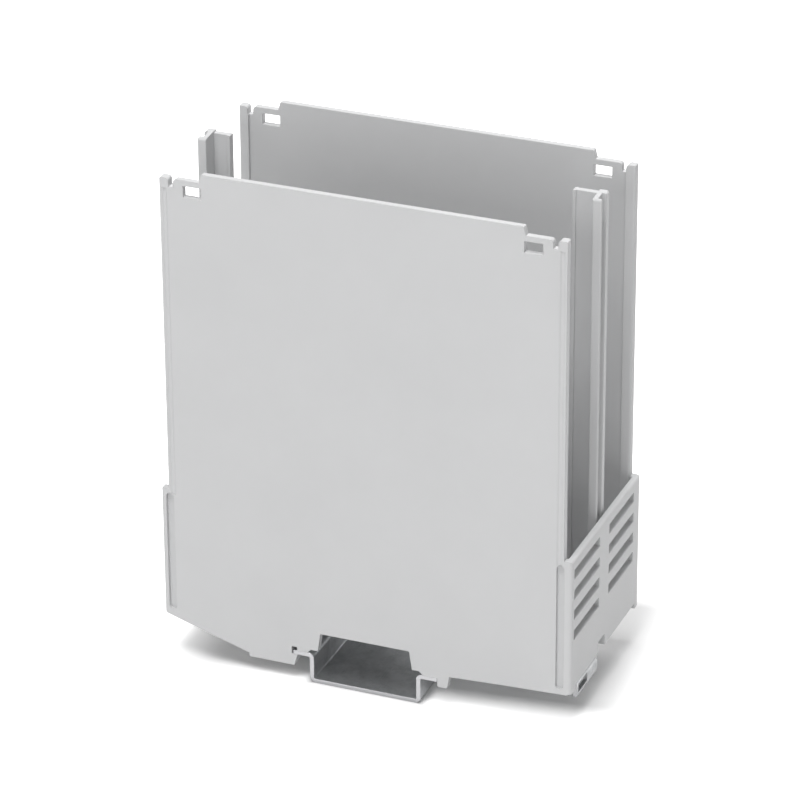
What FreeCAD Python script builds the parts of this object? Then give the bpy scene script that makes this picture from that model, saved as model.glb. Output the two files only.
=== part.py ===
import FreeCAD, Part
import math
import os

os.makedirs("parts", exist_ok=True)

V = FreeCAD.Vector

# Millimetres. X runs across the rail, Y along the rail, Z up. The origin lies under the middle of the rail.

# Top-hat rail that the housing is clipped to
rail_width = 35.0
rail_depth = 7.5
rail_channel = 27.0
rail_sheet = 1.0
rail_bend = 0.3

# Housing, outside
width = 45.2
length = 99.0
top_z = 122.0
shoulder_z = 120.0
vent_top_z = 43.2
left_wall_drop = 2.6
wall_setback = 2.0

# Housing walls. The side walls are drawn thin at the top so that they leave the mould.
side_wall = 1.5
side_draft = 0.3
vent_wall = 1.6
floor_wall = 1.6
rib_wall = 1.5
tiny_round = 0.3
corner_round = 0.9
lip_round = 0.6

# Crown of the side wall, its shoulders and the notches that free the shoulder tabs from the end posts
crown_inset = 10.0
crown_slant = 0.5
post_len = 2.3
post_depth = 2.1
post_round = 0.5
post_top_len = 2.15
post_top_round = 0.7
notch_len = 1.15
notch_deep = 2.0
shoulder_round = 0.8

# Latch windows for the cover
latch_len = 4.3
latch_high = 2.7
latch_start = 0.1
latch_drop = 1.3

# Grooves on the outside of the side walls, along the end posts and behind the vent-wall lips
post_bead = 0.45
post_groove = 1.3
post_groove_deep = 0.25
post_groove_flank = 0.35
groove_top_gap = 0.4
lip_groove = 1.8
lip_groove_deep = 0.8
lip_groove_out = {-1: 0.7, 1: 0.1}
lip_groove_round = 0.8
lip_groove_top_gap = 1.2
lip_groove_foot = {-1: 12.2, 1: 10.9}

# Vent slots, in two columns. The left wall is lower and carries one row less.
slot_high = 2.5
slot_pitch_z = 5.1
slot_rows = 4
slot_near_margin = 1.4
slot_far_margin = 4.4
slot_column_gap = 6.2
slot_top_margin = 2.3

# Guide post at mid-width of each end
mid_top_z = 121.3
mid_near_z = 121.0
mid_web_z = 120.9
mid_near_y = {-1: -2.3, 1: -1.6}
mid_groove_y = (-1.0, 1.6)
mid_groove_deep = 1.0
mid_far_y = 3.4
mid_flange = 2.1
mid_web = 1.4
mid_web_len = {-1: 6.1, 1: 7.9}
mid_bead = 0.8
mid_bead_proud = 0.2
mid_round = 0.6

# Lower edge of the housing
left_skirt_z = 11.0
slope_foot_z = 4.5
hook_z = 3.6
hook_len = 11.2
hook_grip = 1.0
hook_lean = 0.8
relief_len = 1.3
relief_gap = 0.4
relief_high = 0.9
mouth_z = 13.0
mouth_half_top = 10.8
mouth_half_foot = 11.5
bend_room = 0.9
bend_room_x = 13.2
lug_len = 2.4
lug_z = 5.3
lug_lean = 0.5
skirt_z = 8.4
skirt_mid_inset = 16.8
skirt_mid_z = 9.0
skirt_end_z = 9.6
end_floor_z = 11.1
skirt_foot_len = 2.6
end_notch_y = (-4.7, -0.5)
end_notch_z = 14.0

# Floor over the rail
saddle_z = 13.4
saddle_right = 20.2
seat_clear = 0.1

# Foot catch
catch_y = -width / 4
catch_width = 13.0
catch_sheet = 1.0
catch_clear = 0.3
catch_grip = 2.0
catch_nose = 3.0
catch_rise_run = 2.6
catch_travel = 3.0
catch_bend = 0.5
catch_tab_inset = 0.2
catch_tab_z = 6.8
catch_slot_shift = -2.8
catch_slot_len = 5.8
catch_slot_z = (7.5, 9.7)
nose_lead = 0.5

# Guides of the catch under the floor
guide_len = 3.2
guide_end_gap = 8.5
guide_cheek = 1.4
guide_lip = 1.2
guide_lip_high = 0.8

# Return spring of the catch, and the stop post that carries it
spring_offset = 3.09
spring_len = 9.0
spring_radius = 1.4
spring_wire = 0.4
spring_turns = 6
spring_sides = 8
spring_room = 0.3
stop_len = 1.8
spigot_radius = 0.7
spigot_len = 2.4
finger_half = 0.5
finger_len = 2.0

half_width = width / 2
half_length = length / 2
wall_end = half_length - wall_setback
crown_half = wall_end - crown_inset
notch_end = wall_end - post_top_len - notch_len
vent_in = half_length - vent_wall
rail_half = rail_width / 2
channel_half = rail_channel / 2
inner_y = half_width - side_wall - side_draft
flange_low = rail_depth - rail_sheet
plate_top = end_floor_z - catch_clear
plate_low = plate_top - catch_sheet
nose_top = flange_low - catch_clear
nose_tip = rail_half - catch_grip
joggle_start = nose_tip + catch_nose
joggle_shift = catch_sheet * math.tan(math.atan2(plate_top - nose_top, catch_rise_run) / 2)
joggle_end = joggle_start + catch_rise_run + joggle_shift
spring_start = (joggle_end + half_length - spring_len) / 2 - spring_offset
stop_start = spring_start + spring_len
spring_axis_z = plate_top - catch_sheet / 2
slot_len = (width - slot_near_margin - slot_far_margin - slot_column_gap) / 2
cut_over = 1.0


def box(x0, x1, y0, y1, z0, z1):
    """Box between two corners."""
    return Part.makeBox(x1 - x0, y1 - y0, z1 - z0, V(x0, y0, z0))


def rounded_wire(corners, place):
    """Closed wire through (a, b) or (a, b, radius) corners, each rounded by its own radius."""
    points = [V(corner[0], corner[1], 0) for corner in corners]
    spans = []
    for i, corner in enumerate(corners):
        radius = corner[2] if len(corner) > 2 else 0
        if radius == 0:
            spans.append((points[i], None, points[i]))
            continue
        before = points[i - 1] - points[i]
        after = points[(i + 1) % len(points)] - points[i]
        half_turn = before.getAngle(after) / 2
        before.normalize()
        after.normalize()
        middle = before + after
        middle.normalize()
        reach = radius / math.tan(half_turn)
        crown = points[i] + middle * (radius / math.sin(half_turn) - radius)
        spans.append((points[i] + before * reach, crown, points[i] + after * reach))
    edges = []
    for i, (start, crown, end) in enumerate(spans):
        if crown is not None:
            edges.append(Part.Arc(place(start), place(crown), place(end)).toShape())
        following = spans[(i + 1) % len(spans)][0]
        edges.append(Part.LineSegment(place(end), place(following)).toShape())
    return Part.Wire(edges)


def prism_xz(corners, y0, y1):
    """Outline in the X-Z plane, drawn out from y0 to y1."""
    wire = rounded_wire(corners, lambda p: V(p.x, y0, p.y))
    return Part.Face(wire).extrude(V(0, y1 - y0, 0))


def prism_yz(corners, x0, x1):
    """Outline in the Y-Z plane, drawn out from x0 to x1."""
    wire = rounded_wire(corners, lambda p: V(x0, p.x, p.y))
    return Part.Face(wire).extrude(V(x1 - x0, 0, 0))


def prism_xy(corners, z0, z1):
    """Outline in the X-Y plane, drawn out from z0 to z1."""
    wire = rounded_wire(corners, lambda p: V(p.x, p.y, z0))
    return Part.Face(wire).extrude(V(0, 0, z1 - z0))


def flip_x(corners):
    """The same outline for the left end."""
    return [(-corner[0],) + tuple(corner[1:]) for corner in corners]


def both_ends(shape):
    return [shape, shape.mirror(V(0, 0, 0), V(1, 0, 0))]


def both_sides(shape):
    return [shape, shape.mirror(V(0, 0, 0), V(0, 1, 0))]


def all_corners(shape):
    return [copy for side in both_sides(shape) for copy in both_ends(side)]


def upper_edge():
    """Right half of the side wall's upper outline, from the end wall up to the crown."""
    return [
        (half_length, vent_top_z, lip_round),
        (wall_end, vent_top_z),
        (wall_end, shoulder_z, tiny_round),
        (wall_end - post_top_len, shoulder_z, post_top_round),
        (wall_end - post_top_len, shoulder_z - notch_deep),
        (notch_end, shoulder_z - notch_deep),
        (notch_end, shoulder_z, shoulder_round),
        (crown_half + crown_slant, shoulder_z),
        (crown_half, top_z, tiny_round),
    ]


def left_lower_edge():
    """Lower outline from the left end to the mouth: slope, fixed hook, room for the flange tip, seat."""
    tip = rail_half + relief_gap
    toe = rail_half - hook_grip
    return [
        (-half_length, left_skirt_z, tiny_round),
        (-toe - hook_lean - hook_len, slope_foot_z),
        (-toe - hook_lean - hook_len, hook_z, tiny_round),
        (-toe - hook_lean, hook_z, tiny_round),
        (-toe, flange_low),
        (-tip, flange_low),
        (-tip, rail_depth + relief_high),
        (-tip + relief_len, rail_depth + relief_high),
        (-tip + relief_len, rail_depth),
    ]


def mouth_edge():
    """Lower outline over the rail, from the left seat to the right one."""
    half = [
        (mouth_half_top, mouth_z, tiny_round),
        (mouth_half_foot, rail_depth + bend_room),
        (bend_room_x, rail_depth + bend_room),
        (bend_room_x + bend_room, rail_depth),
    ]
    return flip_x(half)[::-1] + half


def right_lower_edge():
    """Lower outline from the right seat to the right end: lug and rising skirt."""
    lug = rail_half + seat_clear
    return [
        (lug, rail_depth),
        (lug, lug_z, lug_lean),
        (lug + lug_len, lug_z, lug_lean),
        (lug + lug_len + lug_lean, skirt_z),
        (half_length - skirt_mid_inset, skirt_mid_z),
        (half_length - corner_round, skirt_end_z),
        (half_length, skirt_end_z + corner_round),
    ]


def side_walls():
    """Both side walls, drafted on the inside."""
    lower = left_lower_edge() + mouth_edge() + right_lower_edge()
    upper = upper_edge() + flip_x(upper_edge())[::-1]
    blank = prism_xz(lower + upper, -half_width, -inner_y)
    section = [
        (-half_width, 0),
        (-inner_y, 0),
        (-inner_y, saddle_z),
        (-half_width + side_wall, top_z + cut_over),
        (-half_width, top_z + cut_over),
    ]
    return both_sides(blank.common(prism_yz(section, -half_length, half_length)))


def end_posts():
    """Thick ends of the side walls, down to the floor, rounded on the inside."""
    outline = [
        (vent_in + vent_wall / 2, end_floor_z),
        (vent_in + vent_wall / 2, vent_top_z - left_wall_drop - tiny_round),
        (wall_end, vent_top_z - left_wall_drop - tiny_round),
        (wall_end, shoulder_z, tiny_round),
        (wall_end - post_top_len, shoulder_z, post_top_round),
        (wall_end - post_top_len, shoulder_z - notch_deep),
        (wall_end - post_len, shoulder_z - notch_deep),
        (wall_end - post_len, end_floor_z),
    ]
    section = [
        (wall_end - post_len, -half_width),
        (vent_in + vent_wall / 2, -half_width),
        (vent_in + vent_wall / 2, -half_width + side_wall),
        (wall_end, -half_width + side_wall),
        (wall_end, -half_width + post_depth, post_round),
        (wall_end - post_len, -half_width + post_depth),
    ]
    upright = prism_xy(section, end_floor_z, shoulder_z)
    return all_corners(prism_xz(outline, -half_width, -half_width + post_depth).common(upright))


def vent_walls():
    """Low slotted walls that close both ends. The left one stops below the lips at its two ends."""
    left_top = vent_top_z - left_wall_drop
    right_edge = [
        (-half_width, skirt_end_z + tiny_round),
        (-half_width + skirt_foot_len, skirt_end_z, tiny_round),
        (-half_width + skirt_foot_len, end_floor_z),
        (half_width - skirt_foot_len, end_floor_z),
        (half_width - skirt_foot_len, skirt_end_z, tiny_round),
        (half_width, skirt_end_z + tiny_round),
        (half_width, vent_top_z),
        (-half_width, vent_top_z),
    ]
    right_section = [
        (vent_in, skirt_end_z),
        (half_length, skirt_end_z),
        (half_length, vent_top_z, lip_round),
        (vent_in, vent_top_z, tiny_round),
    ]
    left_section = [
        (-half_length, left_skirt_z),
        (-vent_in, left_skirt_z),
        (-vent_in, left_top, tiny_round),
        (-half_length, left_top, lip_round),
    ]
    right = prism_xz(right_section, -half_width, half_width)
    right = right.common(prism_yz(right_edge, vent_in, half_length))
    return [right, prism_xz(left_section, -half_width, half_width)]


def vent_slots(side, rows):
    """Cutters of one end wall's slots. Rows are counted from the right wall's top row."""
    reach = sorted((side * (vent_in - cut_over), side * (half_length + cut_over)))
    top = vent_top_z - slot_top_margin
    cutters = []
    for start in (-half_width + slot_near_margin, half_width - slot_far_margin - slot_len):
        for row in rows:
            high = top - row * slot_pitch_z
            corners = [
                (start, high - slot_high, tiny_round),
                (start + slot_len, high - slot_high, tiny_round),
                (start + slot_len, high, tiny_round),
                (start, high, tiny_round),
            ]
            cutters.append(prism_yz(corners, *reach))
    return cutters


def floor():
    """Floor between the side walls: sloped well with the fixed hook, saddle over the rail, end floor."""
    tip = rail_half + relief_gap
    toe = rail_half - hook_grip
    heel = toe + hook_lean + hook_len
    slope = (left_skirt_z - slope_foot_z) / (half_length - heel)
    lift = floor_wall * math.hypot(1, slope)
    saddle_top = saddle_z + floor_wall
    outline = left_lower_edge()[:6] + [
        (-tip, saddle_z, tiny_round),
        (saddle_right - floor_wall, saddle_z, tiny_round),
        (saddle_right - floor_wall, end_floor_z),
        (vent_in + vent_wall / 2, end_floor_z),
        (vent_in + vent_wall / 2, end_floor_z + floor_wall),
        (saddle_right, end_floor_z + floor_wall, tiny_round),
        (saddle_right, saddle_top, tiny_round),
        (-tip - floor_wall, saddle_top, tiny_round),
        (-tip - floor_wall, slope_foot_z + lift, tiny_round),
        (-heel, slope_foot_z + lift),
        (-half_length, left_skirt_z + lift),
    ]
    return prism_xz(outline, -inner_y - side_draft, inner_y + side_draft)


def seat_ribs():
    """Ribs across the saddle that rest on the two rail flanges."""
    start = rail_half + relief_gap - relief_len
    reach = inner_y + side_draft
    return both_ends(box(start - rib_wall, start, -reach, reach, rail_depth, saddle_z + floor_wall / 2))


def mid_post(side):
    """Grooved guide post at mid-width of one end (side -1 or 1), tied into the vent wall."""
    outer = wall_end
    near_y = mid_near_y[side]
    web_near = mid_far_y - mid_web
    web_end = outer - mid_web_len[side]
    bead_end = web_end + mid_bead
    corners = [
        (outer, near_y, tiny_round),
        (outer, mid_groove_y[0]),
        (outer - mid_groove_deep, mid_groove_y[0]),
        (outer - mid_groove_deep, mid_groove_y[1]),
        (outer, mid_groove_y[1]),
        (outer, mid_far_y, tiny_round),
        (bead_end, mid_far_y),
        (bead_end, mid_far_y + mid_bead_proud),
        (web_end, mid_far_y + mid_bead_proud),
        (web_end, web_near - mid_bead_proud),
        (bead_end, web_near - mid_bead_proud),
        (bead_end, web_near),
        (outer - mid_flange, web_near),
        (outer - mid_flange, near_y, tiny_round),
    ]
    crown = [
        (near_y, end_floor_z),
        (mid_far_y + mid_bead_proud, end_floor_z),
        (mid_far_y + mid_bead_proud, mid_top_z),
        (mid_groove_y[1], mid_top_z, mid_round),
        (near_y, mid_near_z, mid_round),
    ]
    flank = [
        (web_end, end_floor_z),
        (outer, end_floor_z),
        (outer, mid_top_z, mid_round),
        (outer - mid_flange, mid_top_z),
        (outer - mid_flange, mid_web_z),
        (web_end, mid_web_z, tiny_round),
    ]
    post = prism_xy(corners, end_floor_z, mid_top_z)
    post = post.common(prism_yz(crown, web_end, outer))
    post = post.common(prism_xz(flank, near_y, mid_far_y + mid_bead_proud))
    tie_top = vent_top_z - left_wall_drop - tiny_round
    tie = box(outer - mid_flange, vent_in + vent_wall / 2, near_y, mid_far_y, end_floor_z, tie_top)
    whole = post.fuse(tie)
    return whole if side > 0 else whole.mirror(V(0, 0, 0), V(1, 0, 0))


def catch_guides():
    """Two pairs of hooked guides under the end floor that carry the foot catch."""
    reach = catch_width / 2 + catch_clear
    lip_top = plate_low - catch_clear
    shapes = []
    for start in (joggle_end + catch_travel + 2 * catch_clear, half_length - guide_end_gap):
        for side in (-1, 1):
            corners = [
                (catch_y + side * reach, end_floor_z + floor_wall / 2),
                (catch_y + side * reach, lip_top),
                (catch_y + side * (reach - guide_lip), lip_top),
                (catch_y + side * (reach - guide_lip), lip_top - guide_lip_high),
                (catch_y + side * (reach + guide_cheek), lip_top - guide_lip_high),
                (catch_y + side * (reach + guide_cheek), end_floor_z + floor_wall / 2),
            ]
            shapes.append(prism_yz(corners, start, start + guide_len))
    return shapes


def stop_post():
    """Post under the end floor that stops the catch, with a spigot for the spring."""
    half = spring_radius + spring_wire
    near = catch_y - half
    far = catch_y + half
    post = box(stop_start, stop_start + stop_len, near, far, spring_axis_z - half, end_floor_z + floor_wall)
    spigot = Part.makeCylinder(spigot_radius, spigot_len, V(stop_start, catch_y, spring_axis_z), V(-1, 0, 0))
    return [post, spigot]


def spring_pocket():
    """Trough in the underside of the end floor that takes the upper half of the spring."""
    half = spring_radius + spring_wire + spring_room
    start = spring_start - catch_clear
    low = end_floor_z - cut_over
    return box(start, stop_start, catch_y - half, catch_y + half, low, spring_axis_z + half)


def latch_windows():
    """Windows in the shoulders that take the latches of the cover."""
    start = crown_half + latch_start
    top = shoulder_z - latch_drop
    window = box(start, start + latch_len, -half_width - cut_over, -inner_y + cut_over, top - latch_high, top)
    return all_corners(window)


def wall_grooves():
    """Grooves on the outside of the side walls: shallow ones up the posts, deeper ones behind the lips."""
    outer = wall_end - post_bead
    inner = outer - post_groove
    face = -half_width
    bottom = face + post_groove_deep
    section = [
        (outer, face - cut_over),
        (outer, face),
        (outer - post_groove_flank, bottom),
        (inner + post_groove_flank, bottom),
        (inner, face),
        (inner, face - cut_over),
    ]
    lip_top = vent_top_z - lip_groove_top_gap
    cutters = all_corners(prism_xy(section, lip_top, shoulder_z - notch_deep - groove_top_gap))
    for side, foot in lip_groove_foot.items():
        near = wall_end + lip_groove_out[side]
        corners = [
            (side * (near - lip_groove), foot, lip_groove_round),
            (side * near, foot, lip_groove_round),
            (side * near, lip_top, lip_groove_round),
            (side * (near - lip_groove), lip_top, lip_groove_round),
        ]
        cutters += both_sides(prism_xz(corners, face - cut_over, face + lip_groove_deep))
    return cutters


def end_notch():
    """Small notch at mid-width in the lower edge of the right end wall."""
    near, far = end_notch_y
    return box(vent_in, half_length + cut_over, near, far, end_floor_z - cut_over, end_notch_z)


def round_upright_corners(shape):
    """Trim the four outer upright corners of the vent walls to their radius."""
    corners = [
        (x, y, corner_round)
        for x, y in (
            (-half_length, -half_width),
            (half_length, -half_width),
            (half_length, half_width),
            (-half_length, half_width),
        )
    ]
    return shape.common(prism_xy(corners, 0, top_z))


def housing_base():
    """The whole moulding as one solid."""
    walls = vent_walls() + side_walls() + end_posts()
    inside = [floor(), mid_post(-1), mid_post(1)] + seat_ribs() + catch_guides()
    solid = walls[0].multiFuse(walls[1:] + inside).removeSplitter()
    solid = round_upright_corners(solid)
    cutters = vent_slots(1, range(slot_rows)) + vent_slots(-1, range(1, slot_rows))
    cutters += latch_windows() + wall_grooves() + [end_notch(), spring_pocket()]
    solid = solid.cut(Part.makeCompound(cutters))
    return solid.multiFuse(stop_post()).removeSplitter()


def foot_catch():
    """Stamped steel slider: nose under the rail flange, joggle, guided plate and screwdriver tab."""
    nose_low = nose_top - catch_sheet
    outer_bend = catch_bend + catch_sheet
    tab_out = half_length - catch_tab_inset
    tab_in = tab_out - catch_sheet
    outline = [
        (nose_tip, nose_top),
        (joggle_start, nose_top, catch_bend),
        (joggle_start + catch_rise_run, plate_top, outer_bend),
        (tab_out, plate_top, outer_bend),
        (tab_out, catch_tab_z, tiny_round),
        (tab_in, catch_tab_z),
        (tab_in, plate_low, catch_bend),
        (joggle_end, plate_low, catch_bend),
        (joggle_start + joggle_shift, nose_low, outer_bend),
        (nose_tip + nose_lead, nose_low),
        (nose_tip, nose_top - nose_lead),
    ]
    blank = prism_xz(outline, catch_y - catch_width / 2, catch_y + catch_width / 2)
    half = spring_radius + spring_wire + spring_room
    low = plate_low - cut_over
    high = plate_top + cut_over
    window_end = stop_start + stop_len + catch_clear
    window = box(spring_start, window_end, catch_y - half, catch_y + half, low, high)
    finger_end = spring_start + finger_len
    finger_near = catch_y - finger_half
    finger_far = catch_y + finger_half
    finger = box(spring_start - cut_over, finger_end, finger_near, finger_far, plate_low, plate_top)
    slot_near = catch_y + catch_slot_shift - catch_slot_len / 2
    slot_far = slot_near + catch_slot_len
    slot = box(tab_in - cut_over, tab_out + cut_over, slot_near, slot_far, catch_slot_z[0], catch_slot_z[1])
    return blank.cut(window).fuse(finger).cut(slot).removeSplitter()


def catch_spring():
    """Coil compression spring between the stop post and the catch."""
    wire_radius = spring_wire / 2
    turn_len = spring_len - spring_wire
    helix = Part.makeHelix(turn_len / spring_turns, turn_len, spring_radius)
    ring = Part.makePolygon([
        V(spring_radius + wire_radius * math.cos(angle), 0, wire_radius * math.sin(angle))
        for angle in [2 * math.pi * side / spring_sides for side in range(spring_sides)] + [0]
    ])
    coil = Part.Wire(helix.Edges).makePipeShell([ring], True, True)
    coil.rotate(V(0, 0, 0), V(0, 1, 0), 90)
    coil.translate(V(spring_start + wire_radius, catch_y, spring_axis_z))
    return coil


def rail_section():
    """Short length of top-hat rail, cut flush with the side walls."""
    inner_half = channel_half - rail_sheet
    outer_bend = rail_bend + rail_sheet
    outline = [
        (-rail_half, flange_low),
        (-channel_half, flange_low, rail_bend),
        (-channel_half, 0, outer_bend),
        (channel_half, 0, outer_bend),
        (channel_half, flange_low, rail_bend),
        (rail_half, flange_low),
        (rail_half, rail_depth),
        (inner_half, rail_depth, outer_bend),
        (inner_half, rail_sheet, rail_bend),
        (-inner_half, rail_sheet, rail_bend),
        (-inner_half, rail_depth, outer_bend),
        (-rail_half, rail_depth),
    ]
    return prism_xz(outline, -half_width, half_width)


for name, make in (
    ("housing_base", housing_base),
    ("foot_catch", foot_catch),
    ("catch_spring", catch_spring),
    ("rail_section", rail_section),
):
    shape = make()
    if shape.ShapeType != "Solid":
        shape = shape.Solids[0]
    shape.exportStep("parts/" + name + ".step")
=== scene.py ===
import math

import bpy
from mathutils import Matrix, Vector


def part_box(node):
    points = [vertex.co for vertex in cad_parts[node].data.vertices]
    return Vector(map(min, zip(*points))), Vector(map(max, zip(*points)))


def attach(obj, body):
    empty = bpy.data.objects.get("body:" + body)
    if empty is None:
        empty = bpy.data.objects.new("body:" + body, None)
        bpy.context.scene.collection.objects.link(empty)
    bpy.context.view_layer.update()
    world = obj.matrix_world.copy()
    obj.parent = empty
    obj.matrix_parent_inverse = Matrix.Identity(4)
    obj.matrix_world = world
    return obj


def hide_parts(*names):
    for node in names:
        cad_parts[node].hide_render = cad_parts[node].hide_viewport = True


bl_info = {
    "name": "DIN rail housing look",
    "version": (1, 0, 0),
    "blender": (4, 5, 0),
    "location": "View3D > Sidebar > Housing",
    "description": "Dresses the open rail housing, its foot catch and the rail section",
    "category": "Object",
}

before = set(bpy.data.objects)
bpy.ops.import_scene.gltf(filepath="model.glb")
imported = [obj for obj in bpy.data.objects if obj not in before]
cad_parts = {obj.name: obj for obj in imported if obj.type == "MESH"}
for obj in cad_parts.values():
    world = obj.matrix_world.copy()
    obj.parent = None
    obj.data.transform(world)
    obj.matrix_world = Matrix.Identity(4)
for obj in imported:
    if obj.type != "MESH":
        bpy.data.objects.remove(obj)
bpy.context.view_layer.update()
SPRING_LOW, SPRING_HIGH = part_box("catch_spring")

MM = 0.001
# Points closer than this are joined, and faces that meet at less than these angles are shaded smooth.
WELD = 0.002 * MM
FACET_ANGLE = math.radians(32)
WIRE_ANGLE = math.radians(40)
WIRE_SIDES = 12
TURN_STEPS = 40
BEVEL_SAMPLES = 6
FLOOR_SIZE = 8.0
# What both of the shared node groups put out
SURFACE = (("Color", "NodeSocketColor"), ("Roughness", "NodeSocketFloat"), ("Height", "NodeSocketFloat"))
# Direction that a metal piece's sheared or sawn edges face
ALONG_RAIL = (0.0, 1.0, 0.0)
NO_CUT_EDGE = (0.0, 0.0, 0.0)

# Place, size and power of each lamp. All of them aim at the same point over the floor.
LAMP_AIM = Vector((0.0, 0.0, 0.05))
LAMPS = {
    "overhead": ((0.0, -0.1, 1.6), 1.0, 11.4),
    "high_front": ((0.0, -0.6, 1.5), 0.5, 9.3),
    "low_front": ((0.0, -1.6, 0.35), 0.8, 6.6),
    "back": ((0.1, 1.4, 1.1), 1.0, 14.0),
}


class HousingSettings(bpy.types.PropertyGroup):
    edge: bpy.props.FloatProperty(
        name="Edge radius", description="Rounding of the moulded edges", default=0.22 * MM, unit="LENGTH"
    )
    tone: bpy.props.FloatVectorProperty(
        name="Grey", description="Main colour of the moulding", subtype="COLOR", size=3,
        default=(0.640, 0.643, 0.648),
    )
    tone_deep: bpy.props.FloatVectorProperty(
        name="Cloud grey", description="Colour of its faint clouds", subtype="COLOR", size=3,
        default=(0.622, 0.625, 0.630),
    )


class MetalSettings(bpy.types.PropertyGroup):
    edge: bpy.props.FloatProperty(
        name="Edge radius", description="Rounding of the sheared edges", default=0.12 * MM, unit="LENGTH"
    )
    rail_edge: bpy.props.FloatProperty(
        name="Rail edge radius", description="Rounding of the rail's sawn ends", default=0.3 * MM,
        unit="LENGTH",
    )
    zinc: bpy.props.FloatVectorProperty(
        name="Zinc", description="Colour of the zinc plating", subtype="COLOR", size=3,
        default=(0.56, 0.57, 0.58),
    )
    zinc_dull: bpy.props.FloatVectorProperty(
        name="Dull zinc", description="Colour of its dull patches", subtype="COLOR", size=3,
        default=(0.38, 0.39, 0.40),
    )
    cut: bpy.props.FloatVectorProperty(
        name="Cut edge", description="Colour of the bare sheared edges", subtype="COLOR", size=3,
        default=(0.40, 0.40, 0.41),
    )
    # Painted shade: the catch's plating is darkened against the rail's same zinc, for the shade under the
    # housing.
    catch_painted_shade: bpy.props.FloatProperty(
        name="Catch tone", description="Brightness of the catch's plating against the rail's", default=0.72
    )
    metallic: bpy.props.FloatProperty(
        name="Metallic", description="How metallic the plating is under its dull film", default=0.85
    )
    wire: bpy.props.FloatProperty(
        name="Spring wire", description="Diameter of the spring wire", default=0.4 * MM, unit="LENGTH"
    )
    turns: bpy.props.IntProperty(
        name="Spring turns", description="Number of turns of the coil", default=6, min=2
    )


class StageSettings(bpy.types.PropertyGroup):
    camera_place: bpy.props.FloatVectorProperty(
        name="Camera place", description="Where the camera stands", subtype="XYZ", size=3, unit="LENGTH",
        default=(0.33959, -0.83761, 0.51567),
    )
    camera_turn: bpy.props.FloatVectorProperty(
        name="Camera turn", description="Heading, tilt and roll of the camera in degrees", size=3,
        default=(-22.08, -26.57, -0.32),
    )
    lens: bpy.props.FloatProperty(
        name="Lens", description="Focal length in millimetres", default=202.55
    )
    floor: bpy.props.FloatVectorProperty(
        name="Floor", description="Colour of the floor", subtype="COLOR", size=3,
        default=(0.90, 0.90, 0.90),
    )
    sky: bpy.props.FloatProperty(
        name="Sky", description="Strength of the even studio light", default=0.15
    )
    # Painted light: the floor's glow is a camera-only emission that whitens it and wipes out its real
    # shadow outside the shade area and the rail's contact line.
    glow: bpy.props.FloatProperty(
        name="Glow", description="How much the floor is whitened away from the part", default=0.85
    )
    glow_least: bpy.props.FloatProperty(
        name="Least glow", description="Share of the glow that also reaches the shadow", default=0.05
    )
    shade_turn: bpy.props.FloatProperty(
        name="Shade turn", description="Turn of the area left in shadow, in degrees", default=7.3
    )
    shade_middle: bpy.props.FloatVectorProperty(
        name="Shade middle", description="Middle of the area left in shadow", size=2, unit="LENGTH",
        default=(5.5 * MM, 8.0 * MM),
    )
    shade_half: bpy.props.FloatVectorProperty(
        name="Shade half size", description="Half the length and width of the area left in shadow",
        size=2, unit="LENGTH", default=(43.5 * MM, 23.0 * MM),
    )
    shade_fade: bpy.props.FloatVectorProperty(
        name="Shade fade", description="Distance over which the floor turns white", size=2, unit="LENGTH",
        default=(22.0 * MM, 9.0 * MM),
    )
    contact_half: bpy.props.FloatVectorProperty(
        name="Contact half size", description="Half the size of the rail's contact with the floor",
        size=2, unit="LENGTH", default=(13.5 * MM, 22.6 * MM),
    )
    contact_fade: bpy.props.FloatVectorProperty(
        name="Contact fade", description="Width of the dark line along the rail's contact",
        size=2, unit="LENGTH", default=(2.2 * MM, 2.2 * MM),
    )


def deselect_all():
    if bpy.context.object and bpy.context.object.mode != "OBJECT":
        bpy.ops.object.mode_set(mode="OBJECT")
    bpy.ops.object.select_all(action="DESELECT")


def tree_of(material):
    """Clear a material's nodes and return its tree, its shader and its output."""
    material.use_nodes = True
    tree = material.node_tree
    tree.nodes.clear()
    output = tree.nodes.new("ShaderNodeOutputMaterial")
    shader = tree.nodes.new("ShaderNodeBsdfPrincipled")
    tree.links.new(shader.outputs["BSDF"], output.inputs["Surface"])
    return tree, shader, output


def new_group(name, inputs, outputs):
    """An empty node group with named sockets, and its two end nodes."""
    group = bpy.data.node_groups.new(name, "ShaderNodeTree")
    for label, kind, value in inputs:
        socket = group.interface.new_socket(label, in_out="INPUT", socket_type=kind)
        socket.default_value = value
    for label, kind in outputs:
        group.interface.new_socket(label, in_out="OUTPUT", socket_type=kind)
    return group, group.nodes.new("NodeGroupInput"), group.nodes.new("NodeGroupOutput")


def noise(tree, vector, scale, detail=2.0, rough=0.5):
    node = tree.nodes.new("ShaderNodeTexNoise")
    node.inputs["Detail"].default_value = detail
    node.inputs["Roughness"].default_value = rough
    if isinstance(scale, float):
        node.inputs["Scale"].default_value = scale
    else:
        tree.links.new(scale, node.inputs["Scale"])
    tree.links.new(vector, node.inputs["Vector"])
    return node.outputs["Fac"]


def remap(tree, value, low, high, to_low=0.0, to_high=1.0):
    node = tree.nodes.new("ShaderNodeMapRange")
    node.inputs["From Min"].default_value = low
    node.inputs["From Max"].default_value = high
    for label, target in (("To Min", to_low), ("To Max", to_high)):
        if isinstance(target, float):
            node.inputs[label].default_value = target
        else:
            tree.links.new(target, node.inputs[label])
    tree.links.new(value, node.inputs["Value"])
    return node.outputs["Result"]


def math_node(tree, operation, first, second=0.0):
    node = tree.nodes.new("ShaderNodeMath")
    node.operation = operation
    for socket, value in zip(node.inputs, (first, second)):
        if isinstance(value, float):
            socket.default_value = value
        else:
            tree.links.new(value, socket)
    return node.outputs[0]


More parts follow.
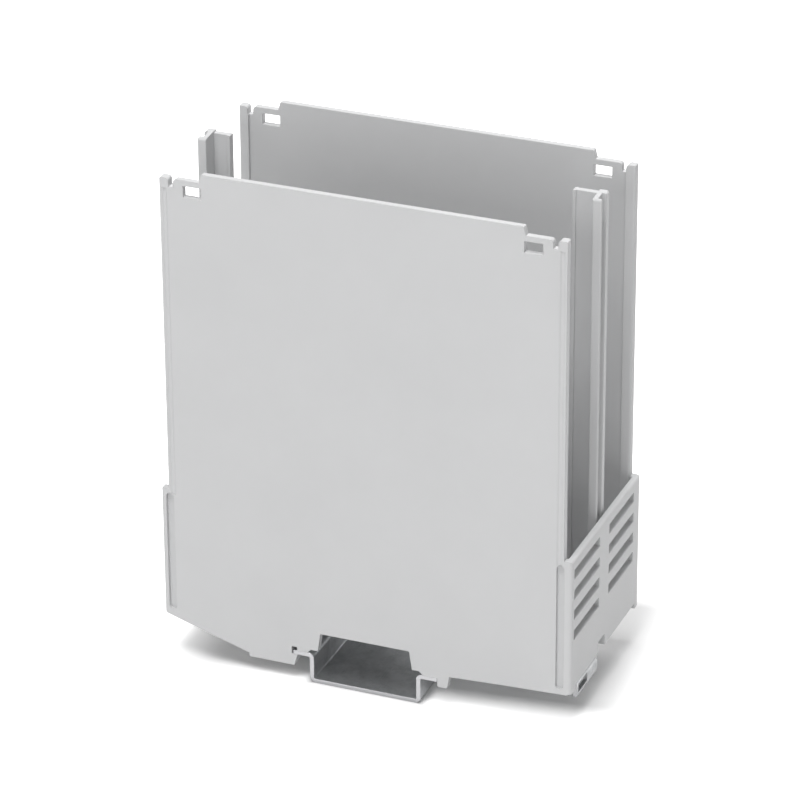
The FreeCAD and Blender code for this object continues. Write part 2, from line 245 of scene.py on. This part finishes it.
def mix_colour(tree, factor, first, second):
    node = tree.nodes.new("ShaderNodeMix")
    node.data_type = "RGBA"
    tree.links.new(factor, node.inputs["Factor"])
    tree.links.new(first, node.inputs["A"])
    tree.links.new(second, node.inputs["B"])
    return node.outputs["Result"]


def seen(tree):
    """1 for rays that show the background or its reflection, 0 for rays that light the part."""
    paths = tree.nodes.new("ShaderNodeLightPath").outputs
    mirrored = math_node(tree, "MAXIMUM", paths["Is Glossy Ray"], paths["Is Transmission Ray"])
    return math_node(tree, "MAXIMUM", paths["Is Camera Ray"], mirrored)


def moulded_group():
    """Skin of a spark-eroded mould: faint clouds in the pigment and a fine matt grain."""
    inputs = (
        ("Grey", "NodeSocketColor", (0.6, 0.6, 0.6, 1.0)),
        ("Cloud Grey", "NodeSocketColor", (0.5, 0.5, 0.5, 1.0)),
        ("Cloud Scale", "NodeSocketFloat", 40.0),
        ("Grain Scale", "NodeSocketFloat", 2600.0),
        ("Rough Low", "NodeSocketFloat", 0.42),
        ("Rough High", "NodeSocketFloat", 0.58),
    )
    group, start, end = new_group("Moulded skin", inputs, SURFACE)
    place = group.nodes.new("ShaderNodeTexCoord").outputs["Object"]
    cloud = noise(group, place, start.outputs["Cloud Scale"], detail=4.0, rough=0.6)
    cloud = remap(group, cloud, 0.32, 0.68)
    grain = noise(group, place, start.outputs["Grain Scale"], detail=3.0, rough=0.65)
    swell = noise(group, place, 55.0, detail=1.0)
    colour = mix_colour(group, cloud, start.outputs["Grey"], start.outputs["Cloud Grey"])
    rough = remap(group, grain, 0.3, 0.7, start.outputs["Rough Low"], start.outputs["Rough High"])
    height = math_node(group, "ADD", grain, math_node(group, "MULTIPLY", swell, 1.6))
    group.links.new(colour, end.inputs["Color"])
    group.links.new(rough, end.inputs["Roughness"])
    group.links.new(height, end.inputs["Height"])
    return group


def zinc_group():
    """Plated strip: streaks from rolling, dull patches, and bare edges that face the cut direction."""
    inputs = (
        ("Bright", "NodeSocketColor", (0.6, 0.6, 0.6, 1.0)),
        ("Dull", "NodeSocketColor", (0.4, 0.4, 0.4, 1.0)),
        ("Patch Scale", "NodeSocketFloat", 260.0),
        ("Streak", "NodeSocketVector", (120.0, 5200.0, 5200.0)),
        ("Rough Low", "NodeSocketFloat", 0.24),
        ("Rough High", "NodeSocketFloat", 0.46),
        ("Cut Edge", "NodeSocketColor", (0.3, 0.3, 0.3, 1.0)),
        ("Cut Across", "NodeSocketVector", (0.0, 1.0, 0.0)),
    )
    group, start, end = new_group("Zinc plating", inputs, SURFACE)
    place = group.nodes.new("ShaderNodeTexCoord").outputs["Object"]
    stretch = group.nodes.new("ShaderNodeVectorMath")
    stretch.operation = "MULTIPLY"
    group.links.new(place, stretch.inputs[0])
    group.links.new(start.outputs["Streak"], stretch.inputs[1])
    streak = noise(group, stretch.outputs["Vector"], 1.0, detail=3.0, rough=0.6)
    patch = noise(group, place, start.outputs["Patch Scale"], detail=3.0, rough=0.7)
    patch = remap(group, patch, 0.38, 0.66)
    shade = math_node(group, "MULTIPLY", patch, remap(group, streak, 0.2, 0.8, 0.45, 1.0))
    colour = mix_colour(group, shade, start.outputs["Bright"], start.outputs["Dull"])
    across = group.nodes.new("ShaderNodeVectorMath")
    across.operation = "DOT_PRODUCT"
    group.links.new(group.nodes.new("ShaderNodeTexCoord").outputs["Normal"], across.inputs[0])
    group.links.new(start.outputs["Cut Across"], across.inputs[1])
    cut = remap(group, math_node(group, "ABSOLUTE", across.outputs["Value"]), 0.8, 0.95)
    colour = mix_colour(group, cut, colour, start.outputs["Cut Edge"])
    rough = remap(group, shade, 0.0, 1.0, start.outputs["Rough Low"], start.outputs["Rough High"])
    group.links.new(colour, end.inputs["Color"])
    group.links.new(rough, end.inputs["Roughness"])
    group.links.new(streak, end.inputs["Height"])
    return group


def use_group(tree, group, values):
    node = tree.nodes.new("ShaderNodeGroup")
    node.node_tree = group
    for label, value in values.items():
        node.inputs[label].default_value = value
    return node


def bump(tree, shader, height, strength, distance, edge):
    """Fine relief over edges that catch the light as if rounded to the given radius."""
    soft = tree.nodes.new("ShaderNodeBevel")
    soft.samples = BEVEL_SAMPLES
    soft.inputs["Radius"].default_value = edge
    node = tree.nodes.new("ShaderNodeBump")
    tree.links.new(soft.outputs["Normal"], node.inputs["Normal"])
    node.inputs["Strength"].default_value = strength
    node.inputs["Distance"].default_value = distance
    tree.links.new(height, node.inputs["Height"])
    tree.links.new(node.outputs["Normal"], shader.inputs["Normal"])


def housing_material(look):
    """Light grey matt polyamide."""
    material = bpy.data.materials.new("light_grey_polyamide")
    tree, shader, _ = tree_of(material)
    skin = use_group(tree, moulded_group(), {
        "Grey": (*look.tone, 1.0),
        "Cloud Grey": (*look.tone_deep, 1.0),
    })
    tree.links.new(skin.outputs["Color"], shader.inputs["Base Color"])
    tree.links.new(skin.outputs["Roughness"], shader.inputs["Roughness"])
    bump(tree, shader, skin.outputs["Height"], strength=0.25, distance=0.02 * MM, edge=look.edge)
    shader.inputs["IOR"].default_value = 1.5
    shader.inputs["Specular IOR Level"].default_value = 0.14
    return material


def toned(colour, tone):
    return (*(tone * value for value in colour), 1.0)


def metal_material(name, group, look, tone, streak, patch, rough, cut_across, edge):
    """Zinc plated steel, with its colours scaled by the tone; below 1 the tone is painted shade that
    darkens a piece's plating.
    """
    material = bpy.data.materials.new(name)
    tree, shader, _ = tree_of(material)
    plate = use_group(tree, group, {
        "Bright": toned(look.zinc, tone),
        "Dull": toned(look.zinc_dull, tone),
        "Streak": streak,
        "Patch Scale": patch,
        "Rough Low": rough[0],
        "Rough High": rough[1],
        "Cut Edge": toned(look.cut, tone),
        "Cut Across": cut_across,
    })
    tree.links.new(plate.outputs["Color"], shader.inputs["Base Color"])
    tree.links.new(plate.outputs["Roughness"], shader.inputs["Roughness"])
    bump(tree, shader, plate.outputs["Height"], strength=0.2, distance=0.01 * MM, edge=edge)
    shader.inputs["Metallic"].default_value = look.metallic
    return material


def dressed_copy(node, name, body):
    """Copy of a CAD node with its facets joined and its rounded faces shaded smooth."""
    deselect_all()
    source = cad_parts[node]
    source.select_set(True)
    bpy.context.view_layer.objects.active = source
    bpy.ops.object.duplicate()
    piece = bpy.context.object
    piece.name = name
    piece.data.name = name
    for key in [key for key in piece.keys() if key.startswith("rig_")]:
        del piece[key]
    piece.data.materials.clear()
    bpy.ops.object.mode_set(mode="EDIT")
    bpy.ops.mesh.select_all(action="SELECT")
    bpy.ops.mesh.remove_doubles(threshold=WELD)
    bpy.ops.mesh.customdata_custom_splitnormals_clear()
    bpy.ops.object.mode_set(mode="OBJECT")
    bpy.ops.object.shade_smooth_by_angle(angle=FACET_ANGLE)
    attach(piece, body)
    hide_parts(node)
    return piece


class HOUSING_OT_moulding(bpy.types.Operator):
    """Make the moulded housing"""
    bl_idname = "housing.moulding"
    bl_label = "Housing moulding"

    def execute(self, context):
        piece = dressed_copy("housing_base", "housing_moulding", "housing")
        piece.data.materials.append(housing_material(context.scene.housing_look))
        return {"FINISHED"}


class HOUSING_OT_metal(bpy.types.Operator):
    """Make the foot catch, the rail section and the return spring"""
    bl_idname = "housing.metal"
    bl_label = "Catch, rail and spring"

    def execute(self, context):
        look = context.scene.metal_look
        plating = zinc_group()
        catch = dressed_copy("foot_catch", "catch_slider", "catch")
        # Painted shade: the catch's plating is darkened by its tone.
        catch.data.materials.append(metal_material(
            "zinc_catch", plating, look, tone=look.catch_painted_shade, streak=(110.0, 4200.0, 4200.0),
            patch=420.0, rough=(0.3, 0.5), cut_across=ALONG_RAIL, edge=look.edge,
        ))
        rail = dressed_copy("rail_section", "rail_piece", "housing")
        rail.data.materials.append(metal_material(
            "zinc_rail", plating, look, tone=1.0, streak=(5200.0, 90.0, 5200.0),
            patch=240.0, rough=(0.28, 0.42), cut_across=ALONG_RAIL, edge=look.rail_edge,
        ))
        self.spring(look, plating)
        return {"FINISHED"}

    def spring(self, look, plating):
        """Round wire wound on the stop post's spigot."""
        radius = (SPRING_HIGH.z - SPRING_LOW.z - look.wire) / 2
        run = SPRING_HIGH.x - SPRING_LOW.x - look.wire
        middle = (SPRING_LOW + SPRING_HIGH) / 2
        deselect_all()
        bpy.ops.mesh.primitive_circle_add(
            vertices=WIRE_SIDES, radius=look.wire / 2,
            location=(radius, 0, 0), rotation=(math.pi / 2, 0, 0),
        )
        coil = bpy.context.object
        coil.name = "return_spring"
        coil.data.name = "return_spring"
        bpy.ops.object.transform_apply(location=True, rotation=True, scale=True)
        wind = coil.modifiers.new("Coil", "SCREW")
        wind.axis = "Z"
        wind.iterations = look.turns
        wind.screw_offset = run / look.turns
        wind.steps = TURN_STEPS
        wind.render_steps = TURN_STEPS
        bpy.ops.object.modifier_apply(modifier=wind.name)
        bpy.ops.object.mode_set(mode="EDIT")
        bpy.ops.mesh.select_all(action="SELECT")
        bpy.ops.mesh.remove_doubles(threshold=WELD)
        bpy.ops.mesh.select_all(action="DESELECT")
        bpy.ops.mesh.select_non_manifold()
        bpy.ops.mesh.edge_face_add()
        bpy.ops.mesh.select_all(action="SELECT")
        bpy.ops.mesh.normals_make_consistent(inside=False)
        bpy.ops.object.mode_set(mode="OBJECT")
        coil.data.transform(Matrix.Rotation(math.pi / 2, 4, "Y"))
        coil.data.transform(Matrix.Translation((SPRING_LOW.x + look.wire / 2, middle.y, middle.z)))
        bpy.ops.object.shade_smooth_by_angle(angle=WIRE_ANGLE)
        coil.data.materials.append(metal_material(
            "spring_wire", plating, look, tone=1.0, streak=(900.0, 900.0, 900.0),
            patch=900.0, rough=(0.2, 0.34), cut_across=NO_CUT_EDGE, edge=look.edge,
        ))
        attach(coil, "housing")
        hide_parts("catch_spring")


class HOUSING_OT_stage(bpy.types.Operator):
    """Make the floor, the lamps, the even sky and the camera"""
    bl_idname = "housing.stage"
    bl_label = "Stage and camera"

    def execute(self, context):
        look = context.scene.stage_look
        self.floor(look)
        self.sky(look)
        for name, (place, size, power) in LAMPS.items():
            self.lamp(name, Vector(place), size, power)
        self.camera(context.scene, look)
        context.scene.view_settings.view_transform = "Standard"
        return {"FINISHED"}

    def floor(self, look):
        """Pale floor that keeps the real shadow near the part and shows white further out, where a painted
        glow wipes the shadow out.
        """
        deselect_all()
        bpy.ops.mesh.primitive_plane_add(size=FLOOR_SIZE, location=(0, 0, 0))
        floor = bpy.context.object
        floor.name = "studio_floor"
        material = bpy.data.materials.new("studio_floor")
        tree, shader, output = tree_of(material)
        shader.inputs["Base Color"].default_value = (*look.floor, 1.0)
        shader.inputs["Roughness"].default_value = 0.9
        shader.inputs["Specular IOR Level"].default_value = 0.1
        turn = math.radians(look.shade_turn)
        shade = self.away_from(tree, turn, look.shade_middle, look.shade_half, look.shade_fade)
        contact = self.away_from(tree, 0.0, (0.0, 0.0), look.contact_half, look.contact_fade)
        clear = math_node(tree, "MULTIPLY", shade, contact)
        clear = remap(tree, clear, 0.0, 1.0, look.glow_least, 1.0)
        strength = math_node(tree, "MULTIPLY", seen(tree), look.glow)
        # Painted light: glow that whitens the floor over its real shadow outside the shade area and the
        # rail's contact.
        painted_glow = tree.nodes.new("ShaderNodeEmission")
        tree.links.new(math_node(tree, "MULTIPLY", clear, strength), painted_glow.inputs["Strength"])
        both = tree.nodes.new("ShaderNodeAddShader")
        tree.links.new(shader.outputs["BSDF"], both.inputs[0])
        tree.links.new(painted_glow.outputs["Emission"], both.inputs[1])
        tree.links.new(both.outputs["Shader"], output.inputs["Surface"])
        floor.data.materials.append(material)

    def away_from(self, tree, turn, middle, half, fade):
        """Mask that rises from 0 to 1 outside the edges of a turned rectangle on the floor."""
        place = tree.nodes.new("ShaderNodeMapping")
        place.vector_type = "TEXTURE"
        place.inputs["Rotation"].default_value[2] = turn
        tree.links.new(tree.nodes.new("ShaderNodeTexCoord").outputs["Object"], place.inputs["Vector"])
        value = place.outputs["Vector"]
        steps = (
            ("SUBTRACT", (*middle, 0.0)),
            ("ABSOLUTE", None),
            ("SUBTRACT", (*half, 1.0)),
            ("MAXIMUM", (0.0, 0.0, 0.0)),
            ("DIVIDE", (*fade, 1.0)),
        )
        for operation, other in steps:
            step = tree.nodes.new("ShaderNodeVectorMath")
            step.operation = operation
            tree.links.new(value, step.inputs[0])
            if other is not None:
                step.inputs[1].default_value = other
            value = step.outputs["Vector"]
        reach = tree.nodes.new("ShaderNodeVectorMath")
        reach.operation = "LENGTH"
        tree.links.new(value, reach.inputs[0])
        rise = tree.nodes.new("ShaderNodeMapRange")
        rise.interpolation_type = "SMOOTHSTEP"
        tree.links.new(reach.outputs["Value"], rise.inputs["Value"])
        return rise.outputs["Result"]

    def sky(self, look):
        """Even light on the part, which shows as white behind it and in the metal."""
        world = bpy.data.worlds.new("even_sky")
        bpy.context.scene.world = world
        world.use_nodes = True
        tree = world.node_tree
        background = tree.nodes["Background"]
        background.inputs["Color"].default_value = (1.0, 1.0, 1.0, 1.0)
        strength = remap(tree, seen(tree), 0.0, 1.0, look.sky, 1.0)
        tree.links.new(strength, background.inputs["Strength"])

    def lamp(self, name, place, size, power):
        data = bpy.data.lights.new(name, "AREA")
        data.size = size
        data.energy = power
        lamp = bpy.data.objects.new(name, data)
        bpy.context.scene.collection.objects.link(lamp)
        lamp.location = place
        lamp.rotation_euler = (LAMP_AIM - place).to_track_quat("-Z", "Y").to_euler()

    def camera(self, scene, look):
        data = bpy.data.cameras.new("camera")
        data.sensor_width = 36.0
        data.lens = look.lens
        data.clip_start = 0.01
        data.clip_end = 20.0
        camera = bpy.data.objects.new("camera", data)
        scene.collection.objects.link(camera)
        heading, tilt, roll = (math.radians(angle) for angle in look.camera_turn)
        turn = Matrix.Rotation(-heading, 4, "Z") @ Matrix.Rotation(math.pi / 2 + tilt, 4, "X")
        turn = turn @ Matrix.Rotation(roll, 4, "Z")
        camera.matrix_world = Matrix.Translation(look.camera_place) @ turn
        scene.camera = camera


class HOUSING_PT_panel(bpy.types.Panel):
    """Lists the pieces of the housing"""
    bl_idname = "HOUSING_PT_panel"
    bl_label = "Rail housing"
    bl_space_type = "VIEW_3D"
    bl_region_type = "UI"
    bl_category = "Housing"

    def draw(self, context):
        column = self.layout.column()
        for operator in OPERATORS:
            column.operator(operator.bl_idname)


OPERATORS = (HOUSING_OT_moulding, HOUSING_OT_metal, HOUSING_OT_stage)
CLASSES = (HousingSettings, MetalSettings, StageSettings) + OPERATORS + (HOUSING_PT_panel,)


def register():
    for cls in CLASSES:
        bpy.utils.register_class(cls)
    bpy.types.Scene.housing_look = bpy.props.PointerProperty(type=HousingSettings)
    bpy.types.Scene.metal_look = bpy.props.PointerProperty(type=MetalSettings)
    bpy.types.Scene.stage_look = bpy.props.PointerProperty(type=StageSettings)


def unregister():
    del bpy.types.Scene.stage_look
    del bpy.types.Scene.metal_look
    del bpy.types.Scene.housing_look
    for cls in reversed(CLASSES):
        bpy.utils.unregister_class(cls)


def main():
    register()
    bpy.ops.housing.moulding()
    bpy.ops.housing.metal()
    bpy.ops.housing.stage()


if __name__ == "__main__":
    main()
